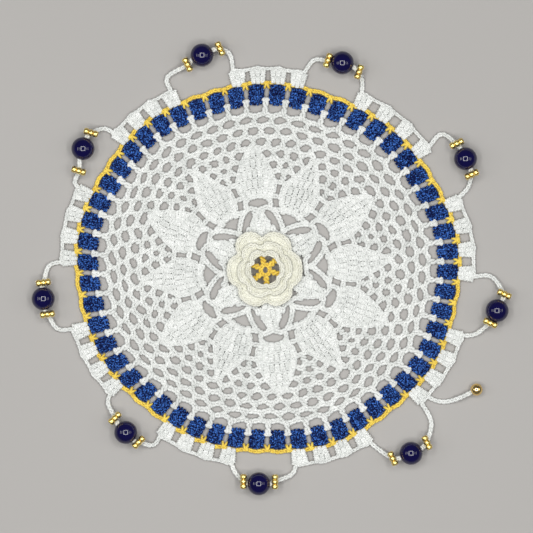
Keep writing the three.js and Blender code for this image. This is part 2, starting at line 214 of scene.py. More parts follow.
class Value:
    """A socket of a node tree that can be added, multiplied and so on."""

    def __init__(self, tree, socket):
        self.tree = tree
        self.socket = socket

    def math(self, operation, *others):
        return self.tree.add("ShaderNodeMath", [self, *others], operation=operation)[0]

    def __add__(self, other):
        return self.math("ADD", other)

    def __mul__(self, other):
        return self.math("MULTIPLY", other)

    def __sub__(self, other):
        return self.math("SUBTRACT", other)

    def __rsub__(self, other):
        return (self * -1).math("ADD", other)

    __radd__ = __add__
    __rmul__ = __mul__


class Board:
    """One way to add nodes to a tree, for materials and for geometry alike."""

    def __init__(self, tree):
        self.tree = tree

    def add(self, kind, inputs=(), **settings):
        """Adds a node, sets it up, feeds its sockets, and returns its outputs."""
        node = self.tree.nodes.new(kind)
        for key, setting in settings.items():
            setattr(node, key, setting)
        pairs = inputs.items() if isinstance(inputs, dict) else enumerate(inputs)
        for key, value in pairs:
            if isinstance(value, Value):
                self.tree.links.new(value.socket, node.inputs[key])
            else:
                node.inputs[key].default_value = value
        return [Value(self, socket) for socket in node.outputs if socket.enabled]


print("Sockets take +, - and *")

# %% [markdown]
# A material starts empty, varies by noise in Object coordinates, mixes two colours and
# ends in one shader. Each step is a small helper.

# %% Helpers for materials
OBJECT_PLACE = 3  # the Object output of a Texture Coordinate node


def new_material(name):
    """An empty material and its board."""
    material = bpy.data.materials.new(name)
    material.use_nodes = True
    material.node_tree.nodes.clear()
    return material, Board(material.node_tree)


def noise(board, **settings):
    """A cloudy pattern in Object coordinates."""
    spot = board.add("ShaderNodeTexCoord")[OBJECT_PLACE]
    return board.add("ShaderNodeTexNoise", {"Vector": spot, **settings})[0]


def blend(board, share, dark, light):
    """A colour between two colours."""
    inputs = {0: share, 6: (*dark, 1), 7: (*light, 1)}
    return board.add("ShaderNodeMix", inputs, data_type="RGBA")[0]


def surface(board, **inputs):
    """Ends a material in a shader. An underscore stands for a space in a name."""
    named = {name.replace("_", " "): value for name, value in inputs.items()}
    shader = board.add("ShaderNodeBsdfPrincipled", named)[0]
    board.add("ShaderNodeOutputMaterial", {"Surface": shader})


print("Noise, blend and surface make a material")

# %% [markdown]
# Cotton yarn is matt with a faint sheen. No two stitches have quite the same shade, and
# loose fibres mottle them. So the colour runs from dark to light by a tone that each
# stitch carries, by broad patches, and by a fine fuzz that also roughens the surface.
# Besides the mottle, the fuzz paints the glints of the yarn as light flecks.

# %% Cotton
FACTOR = 2  # the Fac output of an Attribute node
# Fine noise that mottles the yarn and paints its glints as light flecks.
FUZZ_AND_GLINTS = {"Scale": 1500.0, "Detail": 2.0}
PATCHES = {"Scale": 45.0, "Detail": 1.0}
TONES = {"stitch": 0.3, "patch": 0.2}
RELIEF = {"Strength": 0.35, "Distance": 0.0002}
FUZZ_RELIEF = 0.6
COTTON_ROUGHNESS = 0.6


def cotton(name, dark, light, mottle_and_glints, lift, sheen=0.25, gloss=0.5):
    """Matt cotton between two colours, lightened by lift, with fuzz and painted glints.
    """
    material, board = new_material(name)
    # Painted glints: the fine fuzz flecks the yarn towards its light colour.
    fuzz_and_glints = noise(board, **FUZZ_AND_GLINTS)
    patch = noise(board, **PATCHES)
    tone = board.add("ShaderNodeAttribute", attribute_name="tone")[FACTOR]
    shade = tone * TONES["stitch"] + patch * TONES["patch"]
    lightness = shade + (fuzz_and_glints - 0.5) * mottle_and_glints + lift
    bump = board.add("ShaderNodeBump", {"Height": fuzz_and_glints * FUZZ_RELIEF, **RELIEF})[0]
    surface(
        board,
        Base_Color=blend(board, lightness, dark, light),
        Roughness=COTTON_ROUGHNESS,
        Specular_IOR_Level=gloss,
        Sheen_Weight=sheen,
        Normal=bump,
    )
    return material


WHITE = cotton(
    "white_cotton", (0.54, 0.56, 0.53), (0.92, 0.93, 0.90), mottle_and_glints=1.3, lift=0.35
)
CREAM = cotton(
    "cream_cotton", (0.64, 0.63, 0.51), (0.90, 0.895, 0.79), mottle_and_glints=1.2, lift=0.37
)
YELLOW = cotton(
    "yellow_cotton", (0.70, 0.43, 0.02), (0.98, 0.76, 0.12), mottle_and_glints=1.9, lift=0.33
)
# The blue's strong fuzz paints the glints of the shiny yarn as light blue flecks.
BLUE = cotton(
    "blue_cotton",
    (0.001, 0.004, 0.05),
    (0.07, 0.23, 0.74),
    sheen=0.0,
    gloss=0.12,
    mottle_and_glints=4.4,
    lift=-0.15,
)
print("Four cottons:", ", ".join(yarn.name for yarn in (WHITE, CREAM, YELLOW, BLUE)))

# %% [markdown]
# Each kind of stitch is a few strands of yarn in a small fixed shape, modelled once
# with few faces. A strand is a tube of five sides swept along a row of points.

# %% A strand of yarn
YARN_SIDES = 5
UPRIGHT = 1e-4


def skin(shape, rings, smooth=True):
    """Faces from each ring of vertices to the next."""
    for here, there in zip(rings, rings[1:]):
        for k in range(len(here)):
            beside = (k + 1) % len(here)
            face = shape.faces.new((here[k], there[k], there[beside], here[beside]))
            face.smooth = smooth


def sweep(shape, points, radius, closed):
    """Adds a tube through the points, in millimetres, to a bmesh."""
    count = len(points)
    rings = []
    for i, point in enumerate(points):
        before = points[(i - 1) % count] if closed or i else point
        after = points[(i + 1) % count] if closed or i < count - 1 else point
        along = (after - before).normalized()
        side = along.cross(Vector((0, 0, 1)))
        side = side.normalized() if side.length > UPRIGHT else Vector((1, 0, 0))
        up = side.cross(along)
        ring = []
        for k in range(YARN_SIDES):
            angle = CIRCLE * k / YARN_SIDES
            offset = side * cos(angle) + up * sin(angle)
            ring.append(shape.verts.new((point + offset * radius) * MM))
        rings.append(ring)
    skin(shape, rings + rings[:1] if closed else rings)
    if not closed:
        shape.faces.new(reversed(rings[0]))
        shape.faces.new(rings[-1])


def finished(name, shape, outwards=True):
    """A bmesh as a plain mesh. A new shape has its faces turned outwards."""
    if outwards:
        bmesh.ops.recalc_face_normals(shape, faces=shape.faces)
    mesh = bpy.data.meshes.new(name)
    shape.to_mesh(mesh)
    shape.free()
    return mesh


def stitch(name, nominal, *strands):
    """One stitch as an object that is only copied, and its nominal size."""
    shape = bmesh.new()
    for points, radius, closed in strands:
        sweep(shape, [Vector(point) for point in points], radius, closed)
    return bpy.data.objects.new(name, finished(name, shape)), nominal


print("A strand has", YARN_SIDES, "sides")

# %% [markdown]
# Three shapes of yarn come back in several stitches: the drop of a chain, the flat loop
# on top of a stitch, and strands that wind round each other.

# %% Drops, loops and windings
DROP = {"reach": 1.40, "half_width": 0.50, "tail": -0.30, "head": 0.18, "shift": 0.15}
TAIL_WIDTH = 0.45
HEAD_WIDTH = 1.10
LOOP_TILT = 0.1
WOUND = {"length": 5.2, "offset": 0.50, "turns": 1.25}
WOUND_ENDS = 0.65
WOUND_FLATNESS = 0.7
WOUND_STEPS = 8


def drop(steps=10):
    """The drop-shaped loop of a chain stitch, low and narrow at its tail."""
    points = []
    for i in range(steps):
        angle = CIRCLE * i / steps
        forward = (1 - cos(angle)) / 2
        width = TAIL_WIDTH + (HEAD_WIDTH - TAIL_WIDTH) * forward
        x = DROP["half_width"] * sin(angle) * width
        y = -DROP["reach"] * cos(angle) + DROP["shift"]
        points.append((x, y, DROP["tail"] + (DROP["head"] - DROP["tail"]) * forward))
    return points


def flat_loop(y, half_width, half_height, lift, steps=10):
    """The flat V on top of a stitch, which its neighbours share."""
    points = []
    for i in range(steps):
        angle = CIRCLE * i / steps
        x = half_width * cos(angle)
        points.append((x, y + half_height * sin(angle) + LOOP_TILT * x, lift))
    return points


def wound(start):
    """One of two strands that wind round each other, from a share of a turn on."""
    points = []
    for i in range(WOUND_STEPS + 1):
        share = i / WOUND_STEPS
        angle = CIRCLE * (WOUND["turns"] * share + start)
        swell = WOUND_ENDS + (1 - WOUND_ENDS) * sin(pi * share)
        x = WOUND["offset"] * swell * cos(angle)
        z = WOUND["offset"] * WOUND_FLATNESS * sin(angle)
        points.append((x, (share - 0.5) * WOUND["length"], z))
    return points


def mirrored(points):
    return [(-x, y, z) for x, y, z in points]


print("A drop has", len(drop()), "points and a wound strand", len(wound(0)))

# %% [markdown]
# A chain stitch is a drop-shaped loop whose tail comes out of the loop before it. A V
# stitch is two strands that lean apart over a core. A treble is larger: two legs on a
# core, with the yarn wrapped across them twice and a flat loop on top. A post is two
# strands wound round each other, and a hand stitch is a loose V. Each stitch lies along
# the Y axis about the origin, in millimetres, and is scaled from its nominal size.

# %% The stitches
CHAIN = {"length": 2.0, "width": 1.9}
TREBLE = {"length": 4.5, "width": 2.4}
V_STITCH = {"length": 2.4, "width": 1.8}
POST_STITCH = {"length": 4.7, "width": 2.0}
HAND = {"length": 3.6, "width": 3.1}
V_CORE = [(0, -1.55, -0.25), (0, -0.1, -0.12), (0, 1.25, -0.25)]
V_STRAND = [
    (-0.12, -1.50, -0.15), (-0.30, -0.80, 0.10), (-0.44, 0.00, 0.22),
    (-0.47, 0.65, 0.14), (-0.34, 1.15, -0.05),
]
TREBLE_CORE = [(0, -2.40, -0.25), (0, 0.0, -0.06), (0, 2.0, -0.25)]
TREBLE_LEG = [
    (-0.58, -2.30, -0.20), (-0.50, -1.33, 0.00), (-0.68, -0.72, 0.08),
    (-0.60, 0.08, 0.10), (-0.68, 0.78, 0.08), (-0.62, 1.80, -0.10),
]
LOW_WRAP = [
    (-1.25, -0.70, 0.20), (-0.45, -0.66, 0.32), (0.45, -0.56, 0.32),
    (1.25, -0.52, 0.20),
]
HIGH_WRAP = [
    (-1.25, 0.68, 0.20), (-0.45, 0.72, 0.32), (0.45, 0.80, 0.32),
    (1.25, 0.84, 0.20),
]
HAND_STRAND = [
    (0.10, -1.9, 0.1), (0.25, -0.9, 0.35), (0.70, 0.5, 0.3), (0.95, 1.6, -0.1),
]

# Each strand is its points, its radius, and whether it closes into a loop.
chain_stitch = stitch("chain_stitch", CHAIN, (drop(), 0.43, True))
v_stitch = stitch(
    "v_stitch",
    V_STITCH,
    (V_CORE, 0.62, False),
    (V_STRAND, 0.48, False),
    (mirrored(V_STRAND), 0.48, False),
    (flat_loop(0.90, 0.64, 0.24, 0.32, steps=8), 0.24, True),
)
treble = stitch(
    "treble",
    TREBLE,
    (TREBLE_CORE, 0.66, False),
    (TREBLE_LEG, 0.50, False),
    (mirrored(TREBLE_LEG), 0.50, False),
    (LOW_WRAP, 0.40, False),
    (HIGH_WRAP, 0.38, False),
    (flat_loop(2.08, 1.22, 0.50, 0.26), 0.42, True),
)
post_stitch = stitch(
    "post_stitch",
    POST_STITCH,
    (wound(0.1), 0.46, False),
    (wound(0.6), 0.46, False),
    (flat_loop(2.15, 0.75, 0.35, 0.15), 0.44, True),
)
hand_stitch = stitch(
    "hand_stitch",
    HAND,
    (HAND_STRAND, 0.58, False),
    (mirrored(HAND_STRAND), 0.58, False),
    (flat_loop(-1.6, 1.10, 0.45, 0.45, steps=8), 0.48, True),
)
for made, _ in (chain_stitch, v_stitch, treble, post_stitch, hand_stitch):
    print(made.name, len(made.data.polygons), "faces")

# %% [markdown]
# The whole cover is these stitches set one by one, so a Geometry Nodes tree sets them.
# It takes a cloud of points that say where each stitch goes, which way it reaches and
# how large it is. The tree copies the stitch there, turns it, varies its size a little
# and gives it a tone of its own.

# %% The tree that sets stitches
UP = (0, 0, 1)


def stitch_tree():
    """The node tree, with its sizes as named inputs."""
    tree = bpy.data.node_groups.new("Set stitches", "GeometryNodeTree")
    face = tree.interface
    for name, kind in (
        ("Points", "Geometry"),
        ("Stitch", "Object"),
        ("Unevenness", "Float"),
        ("Seed", "Int"),
        ("Yarn", "Material"),
    ):
        face.new_socket(name=name, in_out="INPUT", socket_type="NodeSocket" + kind)
    face.new_socket(name="Stitches", in_out="OUTPUT", socket_type="NodeSocketGeometry")
    board = Board(tree)
    points, pattern, unevenness, seed, yarn = board.add("NodeGroupInput")[:5]
    kind = "GeometryNodeInputNamedAttribute"
    reach, size = (
        board.add(kind, {0: name}, data_type="FLOAT_VECTOR")[0]
        for name in ("reach", "size")
    )
    heading = board.add(
        "FunctionNodeAxesToRotation", [reach, UP], primary_axis="Y", secondary_axis="Z"
    )[0]
    low = unevenness.math("MULTIPLY_ADD", -1.0, 1.0)
    high = unevenness.math("ADD", 1.0)
    kind = "FunctionNodeRandomValue"
    vary, tone = (
        board.add(kind, {2: least, 3: most, 8: seed}, data_type="FLOAT")[0]
        for least, most in ((low, high), (0.0, 1.0))
    )
    scale = board.add("ShaderNodeVectorMath", {0: size, 3: vary}, operation="SCALE")[0]
    copied = board.add(
        "GeometryNodeObjectInfo", {0: pattern, 1: True}, transform_space="ORIGINAL"
    )[-1]
    set_out = board.add(
        "GeometryNodeInstanceOnPoints",
        {"Points": points, "Instance": copied, "Rotation": heading, "Scale": scale},
    )[0]
    toned = board.add(
        "GeometryNodeStoreNamedAttribute",
        {"Geometry": set_out, "Name": "tone", "Value": tone},
        data_type="FLOAT",
        domain="INSTANCE",
    )[0]
    real = board.add("GeometryNodeRealizeInstances", {0: toned})[0]
    dyed = board.add("GeometryNodeSetMaterial", {"Geometry": real, "Material": yarn})[0]
    board.add("NodeGroupOutput", {0: dyed})
    return tree


SET_STITCHES = stitch_tree()
INPUTS = {item.name: item.identifier for item in SET_STITCHES.interface.items_tree}
print("Inputs:", ", ".join(INPUTS))

# %% [markdown]
# A spot is where one stitch goes: its foot, its head and its width. One helper turns a
# list of spots into the cloud of points, runs the tree on it and keeps the result as a
# plain mesh. Another joins such meshes into one object.

# %% Setting stitches and joining them
UNEVENNESS = 0.05


def set_stitches(pattern, spots, yarn, seed):
    """Sets a stitch on each spot and returns the plain mesh."""
    single, nominal = pattern
    middles = [(foot + head) / 2 + chart_middle for foot, head, _ in spots]
    cloud = bpy.data.meshes.new("spots")
    cloud.from_pydata([tuple(m * MM) for m in middles], [], [])
    reach = cloud.attributes.new("reach", "FLOAT_VECTOR", "POINT")
    size = cloud.attributes.new("size", "FLOAT_VECTOR", "POINT")
    for i, (foot, head, width) in enumerate(spots):
        length = (head - foot).length
        wide = width / nominal["width"]
        reach.data[i].vector = head - foot
        size.data[i].vector = (wide, length / nominal["length"], sqrt(wide))
    piece = shown("stitches", cloud)
    modifier = piece.modifiers.new("Set stitches", "NODES")
    modifier.node_group = SET_STITCHES
    modifier[INPUTS["Stitch"]] = single
    modifier[INPUTS["Unevenness"]] = UNEVENNESS
    modifier[INPUTS["Seed"]] = seed
    modifier[INPUTS["Yarn"]] = yarn
    graph = bpy.context.evaluated_depsgraph_get()
    mesh = bpy.data.meshes.new_from_object(piece.evaluated_get(graph))
    bpy.data.objects.remove(piece)
    return mesh


def joined(name, *meshes):
    """Several meshes as one object, with the material slots of the first."""
    whole = bmesh.new()
    for mesh in meshes:
        whole.from_mesh(mesh)
    piece = shown(name, finished(name, whole, outwards=False))
    for material in meshes[0].materials:
        piece.data.materials.append(material)
    triangles = sum(len(face.vertices) - 2 for face in piece.data.polygons)
    print(name, triangles, "triangles")
    return piece


# %% [markdown]
# Chains follow paths, so one helper smooths a few corner points into a curve and steps
# along it, a stitch at a time.

# %% Stepping along a path
CURVE_STEPS = 8


def smooth(points, closed):
    """A Catmull-Rom curve through the points."""
    count = len(points)
    curve = []
    for i in range(count if closed else count - 1):
        if closed:
            a, b, c, d = (points[(i + k) % count] for k in (-1, 0, 1, 2))
        else:
            b, c = points[i], points[i + 1]
            a = points[i - 1] if i else b * 2 - c
            d = points[i + 2] if i + 2 < count else c * 2 - b
        for k in range(CURVE_STEPS):
            t = k / CURVE_STEPS
            curve.append(
                b
                + (c - a) * (t / 2)
                + (a * 2 - b * 5 + c * 4 - d) * (t * t / 2)
                + (b * 3 - a - c * 3 + d) * (t**3 / 2)
            )
    curve.append(points[0] if closed else points[-1])
    return curve


def chain_spots(points, width=CHAIN["width"], length=CHAIN["length"], closed=False):
    """Chain stitches end to end along a path, as spots for set_stitches."""
    curve = smooth(points, closed)
    reaches = [(b - a).length for a, b in zip(curve, curve[1:])]
    total = sum(reaches)
    count = max(1, round(total / length))
    marks = []
    gone, i = 0.0, 0
    for k in range(count + 1):
        wanted = total * k / count
        while i < len(reaches) - 1 and gone + reaches[i] < wanted:
            gone += reaches[i]
            i += 1
        share = (wanted - gone) / reaches[i] if reaches[i] else 0
        marks.append(curve[i].lerp(curve[i + 1], min(share, 1)))
    return [(a, b, width) for a, b in zip(marks, marks[1:])]


print("A curve takes", CURVE_STEPS, "steps from point to point")

# %% [markdown]
# The net is rounds of chain in brick fashion: a post rises from the middle of each
# arch, and the next chain runs from post to post. An arch bulges where a post stands on
# it and dips at its own posts. The outer three rows of holes run unbroken, and the
# inner three fill the gaps between the leaves. A seeded hand makes every place a little
# uneven.

# %% The white net
NET_HEIGHT = 1.15
LINES = [69.9, 65.4, 60.6, 55.6, 50.7, 46.0, 41.0]
EVEN_FIRST = [3.6, 7.7, 4.8]
ROWS = len(LINES) - 1
WAVE = 0.65
NET_POST = 3.6
NET_CHAIN = 3.15
THICKER = 0.06
UNSTEADY = 0.48
NEAR = 3.4
TIP_ARCH = {"line": 3, "turns": (-4, 0, 4)}
LEAF_GAPS = [
    {"holes": 4, "short": 0.7, "long": 3.8},
    {"holes": 3, "short": 4.3, "long": 7.4},
    {"holes": 2, "short": 7.8, "long": 10.9},
]


def is_long(index):
    return index % 2 == 1


hand = random.Random(17)


def unsteady():
    """The small unevenness of handwork, in millimetres or degrees."""
    return hand.uniform(-UNSTEADY, UNSTEADY)


def hole_angles(row):
    """The middles of a row's holes, in lists that run without a break."""
    if row < len(EVEN_FIRST):
        return [[EVEN_FIRST[row] + k * PITCH for k in range(BLOCKS)]]
    runs = []
    gap = LEAF_GAPS[row - len(EVEN_FIRST)]
    for leaf in range(LEAVES):
        here, there = ("long", "short") if is_long(leaf) else ("short", "long")
        low, high = leaf_angle(leaf) + gap[here], leaf_angle(leaf + 1) - gap[there]
        step = (high - low) / gap["holes"]
        runs.append([low + (k + 0.5) * step for k in range(gap["holes"])])
    return runs


def away(other, angle):
    """How far one angle is from another, the short way round."""
    return (other - angle + TURN / 2) % TURN - TURN / 2


def nearest(angle, angles):
    """The nearest of some angles, or the angle itself if none is near."""
    step = min((away(other, angle) for other in angles), key=abs)
    return angle + step if abs(step) < NEAR else angle


net_chains = []
net_posts = []
for row in range(ROWS):
    below = [a for run in hole_angles(row + 1) for a in run] if row < ROWS - 1 else []
    for run in hole_angles(row):
        closed = row < len(EVEN_FIRST)
        step = run[1] - run[0]
        knots = []
        for i, angle in enumerate(run):
            if i == 0 and not closed:
                knots.append(placed(LINES[row] - WAVE, angle - step / 2, NET_HEIGHT))
            top = LINES[row] + WAVE + unsteady()
            knots.append(placed(top, angle + unsteady(), NET_HEIGHT))
            post = angle + step / 2 + unsteady()
            head = placed(LINES[row] - WAVE + unsteady(), post, NET_HEIGHT)
            knots.append(head)
            if closed or i < len(run) - 1:
                foot_angle = nearest(post, below) if below else post
                foot = placed(LINES[row + 1] + WAVE, foot_angle, NET_HEIGHT)
                net_posts.append((foot, head, NET_POST + THICKER * row))
        net_chains += chain_spots(knots, width=NET_CHAIN + THICKER * row, closed=closed)

for leaf in range(1, LEAVES, 2):
    beyond = [
        placed(LINES[TIP_ARCH["line"]], leaf_angle(leaf) + off, NET_HEIGHT)
        for off in TIP_ARCH["turns"]
    ]
    net_chains += chain_spots(beyond, width=NET_CHAIN)
print(len(net_chains), "chain stitches and", len(net_posts), "posts in the net")

# %% [markdown]
# The twelve leaves are dense trebles, in rows 4.5 mm high with a stitch every 2.4 mm. A
# leaf is widest near its foot and ends in a point, and every second leaf reaches
# further out. An outline is a short table of radii and half widths in degrees, and the
# stitches of a row share its width. The rows sag to either side, and feet says where
# they may begin.

# %% The leaves
ROW_HEIGHT = 4.5
STITCH_WIDTH = 2.4
CROWDED = 1.07
LEAF_HEIGHT = 1.1
SAG = 1.3
FULL_SAG = 12
ROW_STAGGER = 0.3
ROW_INSET = 0.85
EDGE_INSET = 0.9
EDGE_NARROWEST = 0.5
EDGE_CHAIN = 2.0
PATH_HEIGHT = 1.2
SHORT_LEAF = {
    "feet": [(0, 28.3), (15, 28.3)],
    "outline": [
        (29.0, 11.2), (31.0, 12.7), (36.6, 13.9), (41.0, 12.8), (43.6, 9.8),
        (48.3, 6.2), (53.0, 2.7), (55.4, 1.4),
    ],
    "bottom": 27.4,
    "tip": 54.2,
}
LONG_LEAF = {
    "feet": [(0, 34.2), (6.5, 34.2), (10.0, 31.8), (15, 31.8)],
    "outline": [
        (31.6, 12.6), (36.6, 13.9), (41.0, 13.9), (43.6, 12.5), (48.3, 9.1),
        (53.0, 5.6), (57.6, 1.6),
    ],
    "bottom": 33.3,
    "tip": 56.0,
}


def between(table, place):
    """The value of a table of (place, value) at a place."""
    if place <= table[0][0]:
        return table[0][1]
    for (a, low), (b, high) in zip(table, table[1:]):
        if place <= b:
            return low + (high - low) * (place - a) / (b - a)
    return table[-1][1]


def cloth_rows(middle, shape, sag):
    """Rows of trebles that fill an outline round a leaf's middle line."""
    spots = []
    reach = shape["tip"] - shape["bottom"]
    rows = round(reach / ROW_HEIGHT)
    step = reach / rows
    for row in range(rows):
        low = shape["bottom"] + row * step
        halves = []
        for radius in (low, low + step / 2, low + step):
            half = between(shape["outline"], radius) - across(ROW_INSET, radius)
            halves.append(max(half, across(STITCH_WIDTH / 2, radius)))
        half = halves[1]
        width = 2 * half * RADIANS * (low + step / 2)
        count = max(1, round(width / STITCH_WIDTH))
        for k in range(count):
            share = (2 * k + 1) / count - 1 + row % 2 * ROW_STAGGER / count
            down = sag * share * share * min(1, width / FULL_SAG)
            if low - down + step / 2 < between(shape["feet"], abs(share * half)):
                continue
            ends = []
            for radius, end in ((low, halves[0]), (low + step, halves[2])):
                off = share * half + share**3 * (end - half)
                ends.append(placed(radius - down, middle + off, LEAF_HEIGHT))
            spots.append((*ends, width / count * CROWDED))
    return spots


def outline_chain(leaf, side, outline):
    """A chain along one side of a leaf, just inside its outline."""
    edge = []
    for radius, half in outline:
        off = max(half - across(EDGE_INSET, radius), EDGE_NARROWEST)
        angle = leaf_angle(leaf) + side * off
        edge.append(placed(radius - EDGE_INSET, angle, PATH_HEIGHT))
    return chain_spots(edge, width=EDGE_CHAIN)


leaf_spots = []
edge_spots = []
for leaf in range(LEAVES):
    shape = LONG_LEAF if is_long(leaf) else SHORT_LEAF
    leaf_spots += cloth_rows(leaf_angle(leaf), shape, SAG)
    for side in (1, -1):
        edge_spots += outline_chain(leaf, side, shape["outline"][1:])
print(len(leaf_spots), "trebles in the leaves")

# %% [markdown]
# Round the rose lie six small petals, one below each long leaf. Chains frame the
# openings between them and the leaves. Each chain is a short path on the chart: radii,
# and degrees to one side of a long leaf's middle.

# %% Small petals and their chains
PETAL_SAG = 0.8
PETAL = {
    "feet": [(0, 8.0), (15, 8.0)],
    "outline": [(8.0, 15.0), (18.5, 17.0), (22.2, 13.0), (26.0, 6.5), (27.6, 2.6)],
    "bottom": 9.4,
    "tip": 27.0,
}
FRAMES = [
    [
        (27.5, 0), (28.5, 5), (28.9, 9), (27.4, 14.5), (24.8, 20), (22.2, 25),
        (20.2, 29), (17.5, 30),
    ],
    [(20.6, 15.5), (18.6, 17.5), (17.6, 22), (17.6, 29)],
    [(28.6, 10.2), (30.4, 10.8), (32.4, 9.8)],
    [(28.0, 12), (28.2, 19), (28.6, 23), (28.9, 30)],
    [(34.0, 11.5), (34.2, 15), (34.0, 18.5)],
    [(40.6, 11.5), (40.8, 15), (40.6, 18.5)],
    [(33.9, 0), (33.8, 5), (32.4, 9.5)],
]
FRAME_CHAIN = 3.1
frame_spots = []
petal_spots = []
for leaf in range(1, LEAVES, 2):
    petal_spots += cloth_rows(leaf_angle(leaf), PETAL, PETAL_SAG)
    for side in (1, -1):
        frame_spots += outline_chain(leaf, side, PETAL["outline"][1:])
        for path in FRAMES:
            points = [
                placed(radius, leaf_angle(leaf) + side * degrees, PATH_HEIGHT)
                for radius, degrees in path
            ]
            frame_spots += chain_spots(points, width=FRAME_CHAIN)
print(len(petal_spots), "trebles in the small petals")

# %% [markdown]
# Tall white stitches stand on the last arches and reach up between the blue blocks.
# Each is a post with a flat loop for a head.

# %% Posts under the blue round
# The foot and the head of a post: radius, how far it leans round, and height.
POST_ENDS = [(69.8, 0.65, 1.3), (76.4, 0.3, 1.5)]
POST_WIDTH = 3.4
blue_posts = []
for k in range(BLOCKS):
    foot, head = (
        placed(radius, block_angle(k + 0.5) + across(lean, radius), height)
        for radius, lean, height in POST_ENDS
    )
    blue_posts.append((foot, head, POST_WIDTH))
print(len(blue_posts), "posts between the blue blocks")

# %% [markdown]
# The lace is set as four pieces: the net's chains, its posts, the leaves, and the small
# petals with all the edge chains.

# %% The pieces of the lace
all_posts = net_posts + blue_posts
net = joined("lace_net", set_stitches(chain_stitch, net_chains, WHITE, seed=3))
posts = joined("lace_posts", set_stitches(post_stitch, all_posts, WHITE, seed=4))
leaves = joined("lace_leaves", set_stitches(treble, leaf_spots, WHITE, seed=5))
petals = joined(
    "lace_petals",
    set_stitches(chain_stitch, edge_spots, WHITE, seed=16),
    set_stitches(treble, petal_spots, WHITE, seed=6),
    set_stitches(chain_stitch, frame_spots, WHITE, seed=7),
)

# %% [markdown]
# The blue round is 54 blocks. A block is worked densely, in four rows of four small V
# stitches, and leans a little. Its outer corners are rounded off.

# %% The blue round
BLUE_BLOCK = {"foot": 74.1, "row": 2.2, "lean": 0.1, "stitches": 4, "corner": 0.7}
BLUE_WIDTHS = [6.0, 6.9, 7.0, 6.4]
BLUE_HEIGHT = 1.35
PACKED = 1.14


def block_spots(middle, block, widths, height):
    """The stitches of one block, row by row, as spots for set_stitches."""
    spots = []
    last = len(widths) - 1
    step, count = block["row"], block["stitches"]
    for row, width in enumerate(widths):
        low = block["foot"] + row * step
        turn = middle + block["lean"] * (last / 2 - row)
        for k in range(count):
            off = (k - (count - 1) / 2) * width / count
            bend = block["corner"] * (2 * off / width) ** 2
            angle = turn + across(off, low)
            foot = placed(low + bend * (row == 0), angle, height)
            head = placed(low + step - bend * (row == last), angle, height)
            spots.append((foot, head, width / count * PACKED))
    return spots


blue_spots = []
for k in range(BLOCKS):
    blue_spots += block_spots(block_angle(k), BLUE_BLOCK, BLUE_WIDTHS, BLUE_HEIGHT)
blue = joined("blue_blocks", set_stitches(v_stitch, blue_spots, BLUE, seed=8))

# %% [markdown]
# The yellow round is one chain. A loose V reaches from it into each gap between the
# blue blocks and pulls it inwards there, so the chain is slightly scalloped.

# %% The yellow round
YELLOW_ROUND = {"middle": 84.3, "pulled": 83.5, "width": 2.35, "height": 1.1}
# The top and the tip of a short stitch: radius and height.
LEG_ENDS = [(83.9, 1.5), (80.8, 1.2)]
LEG_WIDTH = 3.255
yellow_knots = []
yellow_legs = []
for k in range(BLOCKS):
    gap = block_angle(k + 0.5)
    top, tip = (placed(radius, gap, height) for radius, height in LEG_ENDS)
    yellow_legs.append((top, tip, LEG_WIDTH))
    for place, angle in (("middle", block_angle(k)), ("pulled", gap)):
        yellow_knots.append(placed(YELLOW_ROUND[place], angle, YELLOW_ROUND["height"]))
yellow_chain = chain_spots(yellow_knots, width=YELLOW_ROUND["width"], closed=True)
yellow = joined(
    "yellow_chain",
    set_stitches(chain_stitch, yellow_chain, YELLOW, seed=9),
    set_stitches(hand_stitch, yellow_legs, YELLOW, seed=14),
)

# %% [markdown]
# The white edging has nine groups of four blocks under one chain. A block is two rows
# of three trebles with rounded shoulders. From group to group the same chain goes on as
# a loop through the bore of a bead. No two loops are alike, so each has its own true
# places. The last bit of chain is the free tail.

# %% The white edging
IN_GROUP = 4
# The middle of each group and the pitch of its blocks, in degrees.
EDGING_GROUPS = [
    (8.4, 6.8), (48.4, 7.5), (89.4, 6.1), (128.5, 6.1), (167.8, 6.4),
    (208.4, 6.3), (248.7, 6.6), (289.7, 6.5), (329.8, 6.5),
]
# Of each loop its bead, its right and left seed beads, and its right and left bend.
LOOPS = [
    [(28.5, 100.8), (24.2, 100.1), (32.9, 100.8), (21.4, 96.6), (37.2, 98.0)],
    [(69.5, 96.8), (64.5, 95.9), (73.3, 95.7), (62.6, 93.2), (77.0, 94.6)],
    [(106.8, 98.3), (101.9, 99.0), (111.2, 96.3), (99.6, 95.9), (117.6, 95.2)],
    [(147.1, 96.8), (142.5, 97.9), (152.8, 93.4), (139.4, 94.8), (156.2, 93.2)],
    [(188.1, 99.9), (184.0, 99.0), (192.2, 99.2), (179.6, 96.6), (196.6, 96.8)],
    [(229.7, 96.3), (225.0, 94.8), (234.0, 96.1), (220.6, 92.8), (237.8, 93.8)],
    [(268.1, 96.3), (264.0, 95.7), (272.4, 95.4), (261.4, 92.4), (277.2, 93.0)],
    [(307.9, 104.8), (303.5, 101.9), (312.5, 105.7), (301.9, 96.4), (316.9, 100.8)],
    [(349.3, 104.4), (346.0, 102.6), (353.5, 106.4), (342.2, 98.0), (357.6, 100.4)],
]
TAIL = [(321.2, 90.8), (321.8, 96.2), (323.4, 100.6), (326.2, 104.3), (329.8, 108.4)]
EDGING = {"foot": 83.1, "row": 3.4, "lean": 0, "stitches": 3, "corner": 0.7}
EDGING_WIDTHS = [6.0, 6.8]
EDGING_HEIGHT = 1.65
RAIL = {"radius": 90.4, "shoulder": 89, "width": 2.1, "height": 1.5}
RAIL_BENDS = [(-2.3, -0.6), (0, 0.1), (2.3, -0.4)]
BEAD_RADIUS = 5.15
BALL_RADIUS = 2.75
CORD = {"root": 89.0, "inset": 1, "width": 2.5}
CORD_HEIGHTS = {"root": 1.4, "bend": 1.6, "seeds": 3.95, "tail": 1.1}


